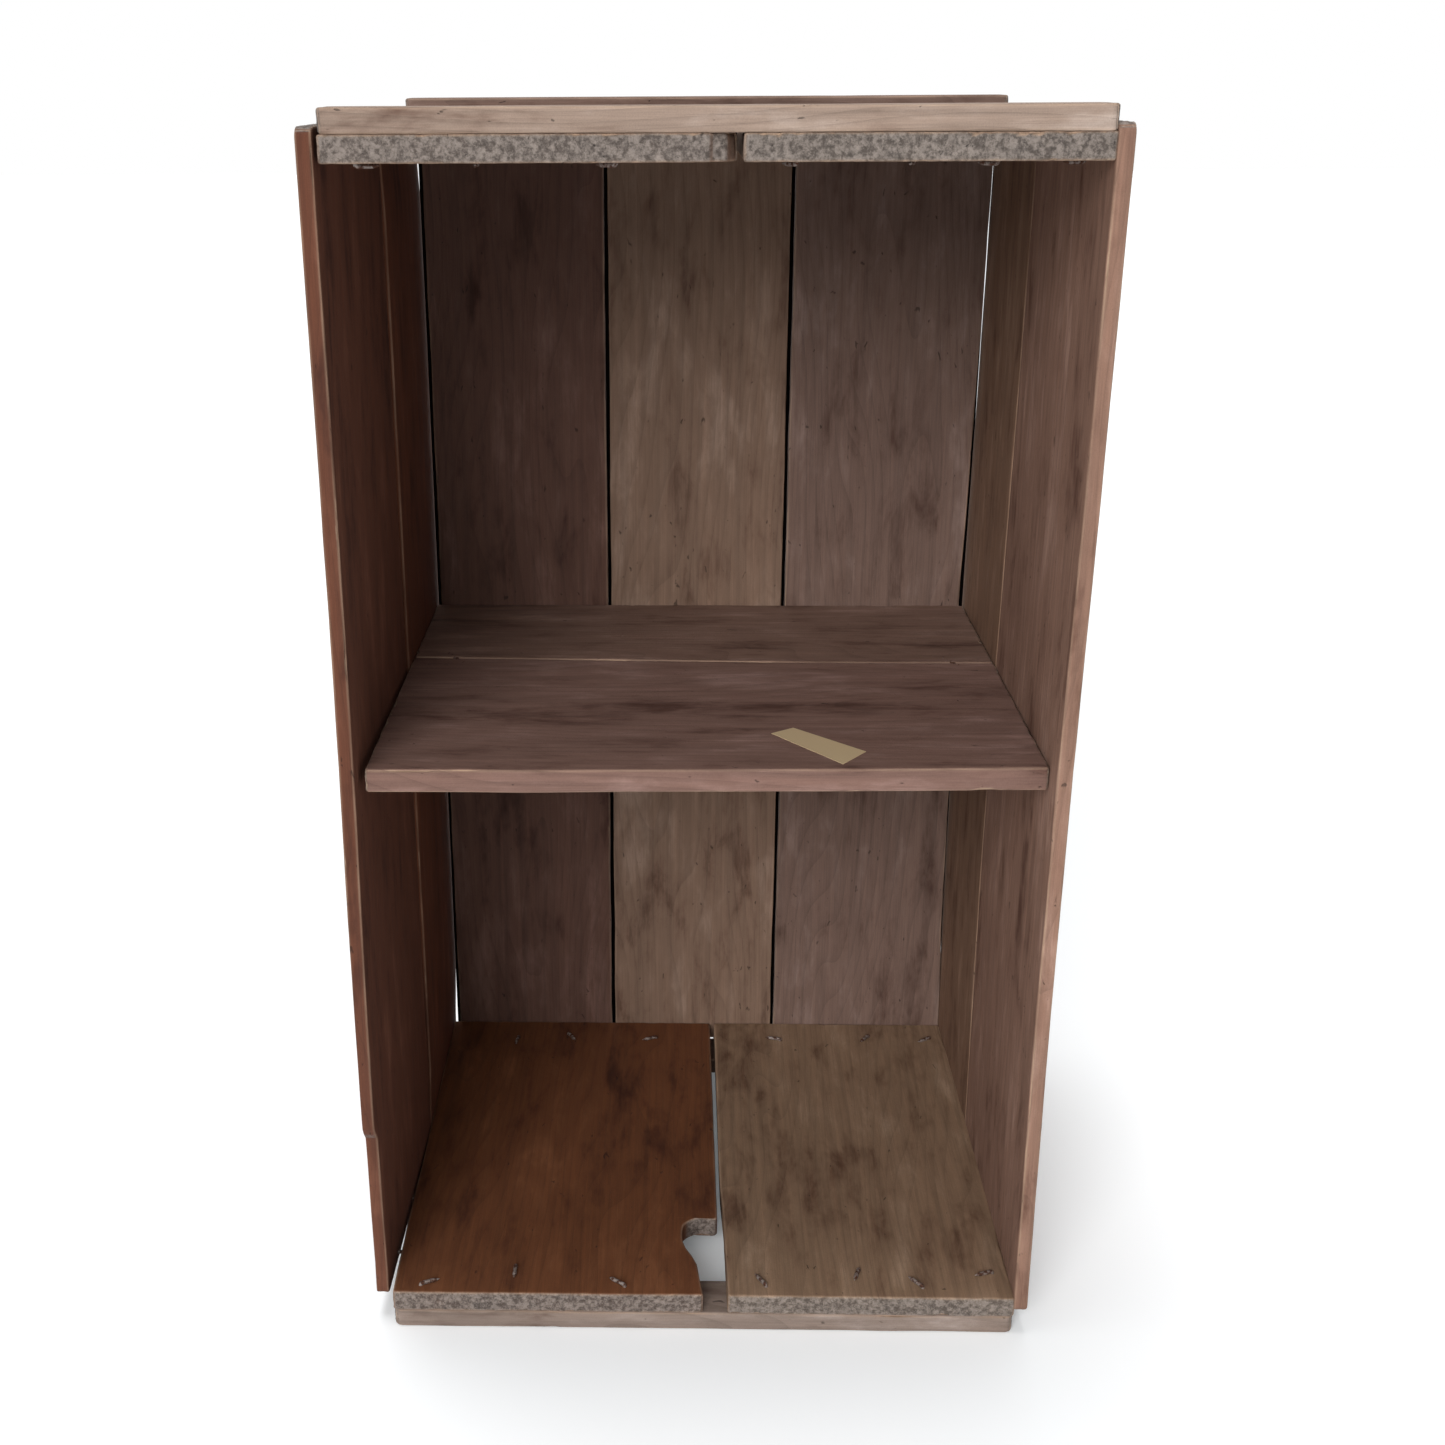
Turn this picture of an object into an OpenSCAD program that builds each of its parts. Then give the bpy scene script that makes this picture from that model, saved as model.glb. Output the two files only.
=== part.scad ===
// Cleated shipping case, standing on one end with its long face open.
// Two cleated ends, thin board sides and back, and a middle partition that makes a shelf.
// The lid is gone. Every joint is nailed, and the cleat nails are clinched inside.
// Millimetres. X to the right, Y to the back, Z up; the origin is on the surface that
// the case stands on, under the middle of its outline.

/* [Case] */
// Length of both ends, across the case
end_len = 358; // [346:1:400]
// Depth of both ends, front to back
end_depth = 304; // [290:1:340]
// Clear height between the two ends
clear_height = 620; // [560:1:700]
// Clear height of the lower compartment, up to the underside of the shelf
lower_height = 309.2; // [250:0.1:350]

/* [Boards] */
// Thickness of the end boards
end_thick = 12.7; // [10:0.1:16]
// Thickness of the side boards
side_thick = 8; // [7:0.1:11]
// Thickness of the back boards
back_thick = 8; // [6:0.1:11]
// Thickness of the shelf boards
shelf_thick = 12.8; // [10:0.1:16]
// How far the lower end of the side boards stops short of the bottom end's outer face
side_lift = 3; // [0:0.1:4]
// How far the upper end of the side boards stands past the top end's outer face
side_rise = 3.6; // [2:0.1:6]
// Rounding worn onto the long edges of the boards
edge_ease = 1.2; // [0.5:0.1:2]
// Rounding worn onto the outer corners of the side boards
side_corner = 5.5; // [2:0.1:6.5]

/* [Cleats] */
// Width of a cleat, front to back
cleat_width = 30; // [27:0.5:38]
// Thickness of a cleat
cleat_thick = 11.5; // [9:0.1:15]
// Rounding worn onto the outer corners of a cleat
cleat_corner = 6; // [2:0.1:8]

/* [Seams] */
// Width of the left board of each end
end_left_width = 189.2; // [182:0.1:195]
// Open seam between the two boards of each end
end_seam = 2.6; // [1:0.1:4]
// Width of the front board of the left side
left_front_width = 172; // [160:0.5:190]
// Width of the front board of the right side
right_front_width = 179; // [160:0.5:190]
// Seam between the boards of one side
side_seam = 0.7; // [0.4:0.1:2]
// Angle by which the left side's front board has sprung outwards
left_lean = 0.9; // [0.3:0.1:1.2]
// Open seam between neighbouring back boards
back_seam = 2.5; // [1:0.1:4]
// Open seam between the left side and the back boards
back_left_seam = 2.8; // [1:0.1:4]
// Open seam between the right side and the back boards
back_right_seam = 2.2; // [1:0.1:4]
// Width of the left back board
back_left_width = 114; // [100:0.5:120]
// Width of the middle back board
back_middle_width = 114; // [100:0.5:120]

/* [Shelf] */
// Gap between each end of the shelf and the side beside it
shelf_end_gap = 0.6; // [0.2:0.1:0.9]
// Setback of the shelf's front edge at its left end
shelf_setback_left = 8; // [4:0.5:20]
// Setback of the shelf's front edge at its right end
shelf_setback_right = 15.5; // [4:0.5:20]
// Distance of the shelf's seam from the front at its left end
shelf_seam_left = 192; // [175:0.5:200]
// Distance of the shelf's seam from the front at its right end
shelf_seam_right = 184; // [175:0.5:200]
// Open width of the shelf's seam
shelf_seam = 0.6; // [0.3:0.1:2]

/* [Nails] */
// Diameter of a nail
nail_dia = 2.3; // [1.8:0.1:2.8]
// Diameter of a nail head
head_dia = 5.6; // [4.5:0.1:7]
// Thickness of a nail head
head_thick = 1.1; // [0.8:0.1:1.6]
// Depth of a nail head below the face that it was driven into
head_sink = 0.4; // [0.2:0.1:1]
// Radial clearance of a nail in its hole
nail_fit = 0.1; // [0.05:0.01:0.2]
// Length of the sharp point of a nail
nail_tip = 3; // [2:0.1:4]
// Length that a clinched nail lies over on the inner face
clinch_len = 10; // [6:0.5:14]
// Depth that a side nail reaches into an end board or the shelf
side_bite = 24; // [16:0.5:30]
// Depth that a back nail reaches into an end board or the shelf
back_bite = 11; // [8:0.5:13]

/* [Front cleat nails] */
// Distances from the left end of the cleat
front_left_x = [15.7, 69.5, 134.1]; // [8:0.1:150]
// Distances of those nails from the front of the cleat
front_left_y = [6.4, 24, 7.2]; // [5:0.1:25]
// Directions in which those nails are clinched, degrees
front_left_turn = [22, 270, 144]; // [0:1:360]
// Distances from the right end of the cleat
front_right_x = [9.5, 51.6, 87, 142.1]; // [8:0.1:143]
// Distances of those nails from the front of the cleat
front_right_y = [23, 9, 24, 8.7]; // [5:0.1:25]
// Directions in which those nails are clinched, degrees
front_right_turn = [200, 131, 251, 122]; // [0:1:360]

/* [Rear cleat nails] */
// Distances from the left end of the cleat
rear_left_x = [49.6, 85.6, 150]; // [8:0.1:150]
// Distances of those nails from the rear of the cleat
rear_left_y = [23, 18, 22]; // [17:0.1:25]
// Directions in which those nails are clinched, degrees
rear_left_turn = [262, 300, 205]; // [0:1:360]
// Distances from the right end of the cleat
rear_right_x = [10, 54, 118]; // [8:0.1:143]
// Distances of those nails from the rear of the cleat
rear_right_y = [20, 18, 24]; // [17:0.1:25]
// Directions in which those nails are clinched, degrees
rear_right_turn = [215, 232, 170]; // [0:1:360]

/* [Side and back nails] */
// Distance of the side nails from the inner face of the end board that they enter
side_nail_inset = 4.5; // [3:0.1:5]
// Distance from a cleat to the nearest side nail
side_nail_start = 12; // [8:0.5:20]
// Spacing of the nails along the front boards of the sides
side_nail_step = 52; // [40:0.5:60]
// Distance of the rear side board's inner nail from the seam
side_nail_seam = 30; // [20:0.5:40]
// Distance of the back nails from the long edges of their board
back_nail_edge = 15; // [10:0.5:25]
// Distance of the shelf's side nails from the shelf's edges and seam
shelf_nail_edge = 42; // [32:0.5:46]

/* [Corrugated fasteners] */
// Length of a corrugated fastener
fastener_len = 24; // [18:0.5:30]
// Thickness of its steel
fastener_thick = 0.6; // [0.4:0.05:0.9]
// Height of a wave, from the middle line to a crest
fastener_wave = 1.1; // [0.8:0.05:1.5]
// Length of one wave
fastener_pitch = 4; // [3:0.1:6]
// Depth that it is driven into the shelf
fastener_depth = 9; // [6:0.1:9.5]
// Clearance round it in the shelf
fastener_fit = 0.1; // [0.05:0.01:0.2]
// Distance of each fastener from the nearer end of the shelf
fastener_inset = 27; // [24:0.5:60]
// Direction of the left fastener, across the seam
left_fastener_turn = -57; // [-80:1:-45]
// Direction of the right fastener, across the seam
right_fastener_turn = -64; // [-80:1:-45]

/* [Tape scrap] */
// Length of the scrap of tape on the shelf
tape_len = 56; // [40:0.5:80]
// Width of its torn left end
tape_left_width = 15; // [10:0.5:20]
// Width of its torn right end
tape_right_width = 22; // [12:0.5:26]
// Slant of its torn ends
tape_tear = 4; // [0:0.5:8]
// Thickness of the dried tape
tape_thick = 0.3; // [0.2:0.05:0.6]
// Distance of its middle from the left end of the shelf
tape_from_left = 238; // [120:1:260]
// Distance of its middle from the front of the case
tape_from_front = 47; // [45:0.5:90]
// Direction in which it lies
tape_turn = -48; // [-70:1:-20]

/* [Damage] */
// Length of the strip broken off the left side's front edge, up from the floor
broken_height = 112; // [60:1:200]
// Depth of that break
broken_depth = 8.5; // [4:0.5:14]
// Slant of that break across the board's thickness
broken_slant = 1.5; // [0:0.1:3]
// Width of the slot in front of the knot hole
knot_slot = 11; // [8:0.5:14]
// How much narrower that slot is at the front edge
knot_slot_taper = 3; // [0:0.1:5]
// Radius of the knot hole's round ends
knot_radius = 10; // [7:0.1:11]
// Distance between the middles of those round ends, front to back
knot_stretch = 9; // [0:0.5:14]
// Distance of the front one's middle from the front
knot_from_front = 53.5; // [46:0.1:90]
// Distance of both middles from the edge of their board
knot_from_edge = 11; // [9:0.1:14]
// Length of the split beside the third cleat nail
split_len = 26; // [15:0.5:28]
// Width of that split
split_width = 0.6; // [0.3:0.1:1]
// Depth of the patch torn out of the bottom end's inner face
torn_depth = 1.6; // [0.5:0.1:3]
// Length of the torn patch, from the back
torn_len = 90; // [60:1:110]
// Width of the torn patch, from the seam
torn_width = 79; // [50:1:90]
// Width of the corner broken off the top end beside its seam
broken_corner_width = 10.5; // [5:0.5:14]
// Depth of that broken corner
broken_corner_depth = 14; // [8:0.5:20]
// Chamfer worn onto the neighbouring corner
worn_corner = 3.5; // [2:0.1:5]

/* [Hidden] */

$fn = 48;
over = 1;
blind_end = 0.5;
bend_radius = 0.6 * nail_dia;

// Heights: floor is the bottom end's inner face, ceiling is the top end's.
floor_z = cleat_thick + end_thick;
ceiling_z = floor_z + clear_height;
case_height = ceiling_z + floor_z;
shelf_under = floor_z + lower_height;
shelf_top = shelf_under + shelf_thick;
side_bottom = cleat_thick + side_lift;
back_len = clear_height + 2 * end_thick;
side_len = back_len - side_lift + side_rise;

// Front to back.
full_depth = end_depth + back_thick;
front_y = -full_depth / 2;

// Across: the sprung board makes the left side reach further out than the right.
left_reach = side_thick * cos(left_lean) + left_front_width * sin(left_lean);
left_x = (left_reach - side_thick - end_len) / 2;
right_x = left_x + end_len;

end_right_width = end_len - end_left_width - end_seam;
back_right_width = end_len - back_left_seam - back_left_width - back_middle_width
    - 2 * back_seam - back_right_seam;
back_middle_start = back_left_seam + back_left_width + back_seam;
back_right_start = back_middle_start + back_middle_width + back_seam;
shelf_len = end_len - 2 * shelf_end_gap;

// Cleat nails as [distance from the left end, distance from the front, clinch direction].
front_cleat_nails = concat(
    [for (i = [0:len(front_left_x) - 1]) [front_left_x[i], front_left_y[i], front_left_turn[i]]],
    [for (i = [0:len(front_right_x) - 1])
        [end_len - front_right_x[i], front_right_y[i], front_right_turn[i]]]
);
rear_cleat_nails = concat(
    [for (i = [0:len(rear_left_x) - 1])
        [rear_left_x[i], end_depth - rear_left_y[i], rear_left_turn[i]]],
    [for (i = [0:len(rear_right_x) - 1])
        [end_len - rear_right_x[i], end_depth - rear_right_y[i], rear_right_turn[i]]]
);

// Side nails, as distances from the front. The first and last ones clear the cleats.
side_nail_first = cleat_width + side_nail_start;
side_nail_last = end_depth - cleat_width - side_nail_start;
left_end_nails = [
    side_nail_first, side_nail_first + side_nail_step,
    left_front_width + side_seam + side_nail_seam, side_nail_last
];
right_end_nails = [
    side_nail_first, side_nail_first + side_nail_step,
    right_front_width + side_seam + side_nail_seam, side_nail_last
];
shelf_front_nail = max(shelf_setback_left, shelf_setback_right) + shelf_nail_edge;
left_shelf_nails = [
    shelf_front_nail, shelf_seam_left - shelf_nail_edge,
    shelf_seam_left + shelf_nail_edge, end_depth - shelf_nail_edge
];
right_shelf_nails = [
    shelf_front_nail, shelf_seam_right - shelf_nail_edge,
    shelf_seam_right + shelf_nail_edge, end_depth - shelf_nail_edge
];

// Back nails, as distances from the left end of the case.
back_nails = [
    back_left_seam + back_nail_edge, back_left_seam + back_left_width - back_nail_edge,
    back_middle_start + back_nail_edge, back_middle_start + back_middle_width - back_nail_edge,
    back_right_start + back_nail_edge, back_right_start + back_right_width - back_nail_edge
];

// Rectangle with all four corners rounded, from the origin.
module eased_rect(width, height, ease) {
    translate([ease, 0]) square([width - 2 * ease, height]);
    translate([0, ease]) square([width, height - 2 * ease]);
    for (x = [ease, width - ease], y = [ease, height - ease])
        translate([x, y]) circle(ease);
}

// Rectangle whose two lower corners are rounded, from the origin.
module worn_rect(width, height, corner) {
    translate([0, corner]) square([width, height - corner]);
    translate([corner, 0]) square([width - 2 * corner, height]);
    for (x = [corner, width - corner])
        translate([x, corner]) circle(corner);
}

// Places an end's pieces. In its own frame an end lies cleats down: X from its left end,
// Y from the front, Z up from the outer face of the cleats towards the inside.
module at_bottom() {
    translate([left_x, front_y, 0]) children();
}

module at_top() {
    translate([left_x, front_y, case_height]) mirror([0, 0, 1]) children();
}

// Nail driven upwards from a face at Z 0: a flat head, a shank and a sharp point.
module straight_nail(reach) {
    translate([0, 0, head_sink]) cylinder(h = head_thick, d = head_dia);
    translate([0, 0, head_sink]) cylinder(h = reach - nail_tip - head_sink, d = nail_dia);
    translate([0, 0, reach - nail_tip]) cylinder(h = nail_tip, d1 = nail_dia, d2 = nail_dia / 8);
}

// Hole for it: a counterbore from the outer face and a bore a little past the point.
module straight_hole(reach) {
    translate([0, 0, -over])
        cylinder(h = over + head_sink + head_thick, d = head_dia + 2 * nail_fit);
    translate([0, 0, -over]) cylinder(h = over + reach + blind_end, d = nail_dia + 2 * nail_fit);
}

// Cleat nail: it comes out of the inner face, bends over and lies flat on that face.
module clinched_nail(turn) {
    bend_z = floor_z + nail_dia / 2 + nail_fit - bend_radius;
    translate([0, 0, head_sink]) cylinder(h = head_thick, d = head_dia);
    translate([0, 0, head_sink]) cylinder(h = bend_z - head_sink, d = nail_dia);
    translate([0, 0, bend_z]) rotate([0, 0, turn + 180]) translate([-bend_radius, 0, 0]) {
        rotate([90, 0, 0]) rotate_extrude(angle = 90)
            translate([bend_radius, 0]) circle(d = nail_dia);
        translate([0, 0, bend_radius]) rotate([0, -90, 0]) {
            cylinder(h = clinch_len - nail_tip, d = nail_dia);
            translate([0, 0, clinch_len - nail_tip])
                cylinder(h = nail_tip, d1 = nail_dia, d2 = nail_dia / 8);
        }
    }
}

module clinched_hole() {
    translate([0, 0, -over])
        cylinder(h = over + head_sink + head_thick, d = head_dia + 2 * nail_fit);
    translate([0, 0, -over]) cylinder(h = floor_z + 2 * over, d = nail_dia + 2 * nail_fit);
}

module cleat_nail_holes() {
    for (n = concat(front_cleat_nails, rear_cleat_nails))
        translate([n[0], n[1], 0]) clinched_hole();
}

// Directions of driving, for children that point up Z: in from the left side's face,
// in from the right side's face, and in from the back.
module from_left(y, z) {
    translate([left_x - side_thick, front_y + y, z]) rotate([0, 90, 0]) children();
}

module from_right(y, z) {
    translate([right_x + side_thick, front_y + y, z]) rotate([0, -90, 0]) children();
}

module from_back(x, z) {
    translate([left_x + x, front_y + full_depth, z]) rotate([90, 0, 0]) children();
}

// How far outwards the sprung board's outer face lies at a distance from the front.
function lean_out(y) = y < left_front_width
    ? (left_front_width - y) * tan(left_lean) + side_thick * (1 / cos(left_lean) - 1) : 0;

side_nail_heights = [floor_z - side_nail_inset, ceiling_z + side_nail_inset];
back_nail_heights = [floor_z - end_thick / 2, ceiling_z + end_thick / 2];
shelf_nail_height = shelf_under + shelf_thick / 2;

// Left side nails sit as deep in the sprung board as the others do in theirs.
module left_side_nails(rows, heights) {
    for (y = rows, z = heights)
        translate([-lean_out(y), 0, 0])
            from_left(y, z) straight_nail(side_thick + side_bite + lean_out(y));
}

module left_side_holes(rows, heights) {
    for (y = rows, z = heights)
        translate([-lean_out(y), 0, 0])
            from_left(y, z) straight_hole(side_thick + side_bite + lean_out(y));
}

module right_side_nails(rows, heights) {
    for (y = rows, z = heights)
        from_right(y, z) straight_nail(side_thick + side_bite);
}

module right_side_holes(rows, heights) {
    for (y = rows, z = heights)
        from_right(y, z) straight_hole(side_thick + side_bite);
}

module back_nail_row(heights) {
    for (x = back_nails, z = heights)
        from_back(x, z) straight_nail(back_thick + back_bite);
}

module back_hole_row(heights) {
    for (x = back_nails, z = heights)
        from_back(x, z) straight_hole(back_thick + back_bite);
}

// Board of an end, from its left edge, grain running front to back.
module end_board(start, width) {
    translate([start, end_depth, cleat_thick])
        rotate([90, 0, 0]) linear_extrude(end_depth) eased_rect(width, end_thick, edge_ease);
}

// Hole that a lost knot has left at the board's edge, with a slot from there to the front.
module knot_hole() {
    for (y = [knot_from_front, knot_from_front + knot_stretch])
        translate([end_left_width - knot_from_edge, y, 0])
            cylinder(h = floor_z + over, r = knot_radius);
    translate([end_left_width - knot_from_edge - knot_radius, knot_from_front, 0])
        cube([knot_radius, knot_stretch, floor_z + over]);
    translate([end_left_width - knot_from_edge, knot_from_front - knot_radius, 0])
        cube([knot_from_edge + over, 2 * knot_radius + knot_stretch, floor_z + over]);
    linear_extrude(floor_z + over) polygon([
        [end_left_width + over, -over],
        [end_left_width - knot_slot + knot_slot_taper, -over],
        [end_left_width - knot_slot, knot_from_front / 2],
        [end_left_width - knot_slot, knot_from_front],
        [end_left_width + over, knot_from_front]
    ]);
}

module split() {
    translate([front_left_x[2] - split_width / 2, -over, 0])
        cube([split_width, split_len + over, floor_z + over]);
}

// Patch where the surface has torn away, with a stepped front edge.
module torn_patch() {
    translate([0, 0, floor_z - torn_depth]) linear_extrude(torn_depth + over) polygon([
        [end_left_width - 0.24 * torn_width, end_depth + over],
        [end_left_width - 0.05 * torn_width, end_depth - 0.5 * torn_len],
        [end_left_width + over, end_depth - 0.75 * torn_len],
        [end_left_width + over, end_depth - torn_len],
        [end_left_width - 0.2 * torn_width, end_depth - 0.97 * torn_len],
        [end_left_width - 0.25 * torn_width, end_depth - 0.88 * torn_len],
        [end_left_width - 0.6 * torn_width, end_depth - 0.92 * torn_len],
        [end_left_width - 0.75 * torn_width, end_depth - 0.8 * torn_len],
        [end_left_width - torn_width, end_depth - 0.75 * torn_len],
        [end_left_width - torn_width, end_depth - 0.5 * torn_len],
        [end_left_width - 0.75 * torn_width, end_depth + over]
    ]);
}

module bottom_end_left_board() {
    color("#8a6a4a") difference() {
        at_bottom() difference() {
            end_board(0, end_left_width);
            cleat_nail_holes();
            knot_hole();
            split();
            torn_patch();
        }
        left_side_holes(left_end_nails, [side_nail_heights[0]]);
        back_hole_row([back_nail_heights[0]]);
    }
}

module bottom_end_right_board() {
    color("#93775a") difference() {
        at_bottom() difference() {
            end_board(end_left_width + end_seam, end_right_width);
            cleat_nail_holes();
        }
        right_side_holes(right_end_nails, [side_nail_heights[0]]);
        back_hole_row([back_nail_heights[0]]);
    }
}

module broken_corner() {
    translate([end_left_width, 0, 0]) linear_extrude(floor_z + over) polygon([
        [over, -over],
        [-broken_corner_width, -over],
        [-broken_corner_width, 0.6 * broken_corner_depth],
        [-0.5 * broken_corner_width, broken_corner_depth],
        [over, broken_corner_depth]
    ]);
}

// Chamfer along the seam edge of the right board, on the cleats' side.
module worn_seam_corner() {
    translate([end_left_width + end_seam, -over, cleat_thick]) rotate([0, 45, 0])
        cube([worn_corner, cleat_width + over, worn_corner], center = false);
}

module top_end_left_board() {
    color("#7f756c") difference() {
        at_top() difference() {
            end_board(0, end_left_width);
            cleat_nail_holes();
            broken_corner();
        }
        left_side_holes(left_end_nails, [side_nail_heights[1]]);
        back_hole_row([back_nail_heights[1]]);
    }
}

module top_end_right_board() {
    color("#857b70") difference() {
        at_top() difference() {
            end_board(end_left_width + end_seam, end_right_width);
            cleat_nail_holes();
            worn_seam_corner();
        }
        right_side_holes(right_end_nails, [side_nail_heights[1]]);
        back_hole_row([back_nail_heights[1]]);
    }
}

// Cleat across an end: outer corners worn round, long edges eased.
module cleat(start_y) {
    difference() {
        intersection() {
            translate([0, start_y + cleat_width, 0]) rotate([90, 0, 0])
                linear_extrude(cleat_width) worn_rect(end_len, cleat_thick, cleat_corner);
            translate([0, start_y, 0]) rotate([90, 0, 90])
                linear_extrude(end_len) eased_rect(cleat_width, cleat_thick, edge_ease);
        }
        cleat_nail_holes();
    }
}

module bottom_front_cleat() {
    color("#857a6d") at_bottom() cleat(0);
}

module bottom_rear_cleat() {
    color("#7d7265") at_bottom() cleat(end_depth - cleat_width);
}

module top_front_cleat() {
    color("#a08468") at_top() cleat(0);
}

module top_rear_cleat() {
    color("#6e5343") at_top() cleat(end_depth - cleat_width);
}

// Side board standing on end, from its inner face outwards along +X and from its front edge.
module side_board(width) {
    intersection() {
        linear_extrude(side_len) eased_rect(side_thick, width, edge_ease);
        translate([0, width, 0]) rotate([90, 0, 0]) linear_extrude(width) union() {
            translate([0, side_corner]) square([side_thick, side_len - 2 * side_corner]);
            square([side_thick - side_corner, side_len]);
            for (z = [side_corner, side_len - side_corner])
                translate([side_thick - side_corner, z]) circle(side_corner);
        }
    }
}

// Strip broken off the lower front edge of the sprung board, deeper on its outer side.
module broken_strip() {
    translate([0, 0, -over]) linear_extrude(floor_z - side_bottom + broken_height + over)
        polygon([
            [-over, -over],
            [side_thick + over, -over],
            [side_thick + over, broken_depth],
            [-over, broken_depth - broken_slant]
        ]);
}

module left_side_front_board() {
    color("#86604a") difference() {
        translate([left_x, front_y + left_front_width, side_bottom]) rotate([0, 0, -left_lean])
            mirror([1, 0, 0]) translate([0, -left_front_width, 0]) difference() {
                side_board(left_front_width);
                broken_strip();
            }
        left_side_holes(left_end_nails, side_nail_heights);
        left_side_holes(left_shelf_nails, [shelf_nail_height]);
    }
}

module left_side_rear_board() {
    color("#8c5f3f") difference() {
        translate([left_x, front_y + left_front_width + side_seam, side_bottom])
            mirror([1, 0, 0]) side_board(full_depth - left_front_width - side_seam);
        left_side_holes(left_end_nails, side_nail_heights);
        left_side_holes(left_shelf_nails, [shelf_nail_height]);
    }
}

module right_side_front_board() {
    color("#8f6f58") difference() {
        translate([right_x, front_y, side_bottom]) side_board(right_front_width);
        right_side_holes(right_end_nails, side_nail_heights);
        right_side_holes(right_shelf_nails, [shelf_nail_height]);
    }
}

module right_side_rear_board() {
    color("#94724f") difference() {
        translate([right_x, front_y + right_front_width + side_seam, side_bottom])
            side_board(full_depth - right_front_width - side_seam);
        right_side_holes(right_end_nails, side_nail_heights);
        right_side_holes(right_shelf_nails, [shelf_nail_height]);
    }
}

// Back board standing between the sides, from the left end of the case.
module back_board(start, width) {
    difference() {
        translate([left_x + start, front_y + end_depth, cleat_thick])
            linear_extrude(back_len) eased_rect(width, back_thick, edge_ease);
        back_hole_row(concat(back_nail_heights, [shelf_nail_height]));
    }
}

module back_left_board() {
    color("#6d5a4d") back_board(back_left_seam, back_left_width);
}

module back_middle_board() {
    color("#80695a") back_board(back_middle_start, back_middle_width);
}

module back_right_board() {
    color("#6f5b50") back_board(back_right_start, back_right_width);
}

// Shelf outlines, from the left end of the shelf and the front of the case.
module shelf_board(outline) {
    difference() {
        translate([left_x + shelf_end_gap, front_y, shelf_under])
            linear_extrude(shelf_thick) polygon(outline);
        left_side_holes(left_shelf_nails, [shelf_nail_height]);
        right_side_holes(right_shelf_nails, [shelf_nail_height]);
        back_hole_row([shelf_nail_height]);
        for (side = [0, 1]) fastener_place(side) fastener_solid(fastener_fit);
    }
}

module shelf_front_board() {
    color("#7d6154") shelf_board([
        [0, shelf_setback_left],
        [shelf_len, shelf_setback_right],
        [shelf_len, shelf_seam_right],
        [0, shelf_seam_left]
    ]);
}

module shelf_rear_board() {
    color("#84675a") shelf_board([
        [0, shelf_seam_left + shelf_seam],
        [shelf_len, shelf_seam_right + shelf_seam],
        [shelf_len, end_depth],
        [0, end_depth]
    ]);
}

// Wavy strip seen from above, along X about its middle; grown all round by a clearance.
function wave_y(x) = fastener_wave * sin(360 * x / fastener_pitch);

fastener_steps = 48;

module fastener_outline(grow) {
    half = fastener_len / 2;
    xs = [for (i = [0:fastener_steps]) -half + i * fastener_len / fastener_steps];
    rise = fastener_thick / 2 + grow;
    top = [for (x = xs) [x * (half + grow) / half, wave_y(x) + rise]];
    low = [for (i = [fastener_steps:-1:0])
        [xs[i] * (half + grow) / half, wave_y(xs[i]) - rise]];
    polygon(concat(top, low));
}

module fastener_solid(grow) {
    translate([0, 0, -fastener_depth - grow])
        linear_extrude(fastener_depth + grow + (grow > 0 ? over : 0)) fastener_outline(grow);
}

// On the seam at the shelf's top face, 0 at the left end and 1 at the right.
module fastener_place(side) {
    x = side == 0 ? fastener_inset : shelf_len - fastener_inset;
    seam = shelf_seam_left + (shelf_seam_right - shelf_seam_left) * x / shelf_len;
    translate([left_x + shelf_end_gap + x, front_y + seam, shelf_top])
        rotate([0, 0, side == 0 ? left_fastener_turn : right_fastener_turn]) children();
}

module left_corrugated_fastener() {
    color("#4a3a32") fastener_place(0) fastener_solid(0);
}

module right_corrugated_fastener() {
    color("#4a3a32") fastener_place(1) fastener_solid(0);
}

// Nails clinched through a cleat and the end boards behind it.
module cleat_nail_group(nails) {
    for (n = nails) translate([n[0], n[1], 0]) clinched_nail(n[2]);
}

module bottom_front_cleat_nails() {
    color("#5b4a40") at_bottom() cleat_nail_group(front_cleat_nails);
}

module bottom_rear_cleat_nails() {
    color("#5b4a40") at_bottom() cleat_nail_group(rear_cleat_nails);
}

module top_front_cleat_nails() {
    color("#5b4a40") at_top() cleat_nail_group(front_cleat_nails);
}

module top_rear_cleat_nails() {
    color("#5b4a40") at_top() cleat_nail_group(rear_cleat_nails);
}

module left_side_end_nails() {
    color("#544339") left_side_nails(left_end_nails, side_nail_heights);
}

module right_side_end_nails() {
    color("#544339") right_side_nails(right_end_nails, side_nail_heights);
}

module left_side_shelf_nails() {
    color("#544339") left_side_nails(left_shelf_nails, [shelf_nail_height]);
}

module right_side_shelf_nails() {
    color("#544339") right_side_nails(right_shelf_nails, [shelf_nail_height]);
}

module back_bottom_nails() {
    color("#544339") back_nail_row([back_nail_heights[0]]);
}

module back_top_nails() {
    color("#544339") back_nail_row([back_nail_heights[1]]);
}

module back_shelf_nails() {
    color("#544339") back_nail_row([shelf_nail_height]);
}

// Dried scrap of tape, torn narrower at its left end.
module tape_scrap() {
    color("#b98f5a") translate([
        left_x + shelf_end_gap + tape_from_left, front_y + tape_from_front, shelf_top
    ])
        rotate([0, 0, tape_turn]) linear_extrude(tape_thick) polygon([
            [-tape_len / 2, -tape_left_width / 2],
            [tape_len / 2, -tape_right_width / 2],
            [tape_len / 2 - tape_tear, tape_right_width / 2],
            [-tape_len / 2 + tape_tear / 2, tape_left_width / 2]
        ]);
}

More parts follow.
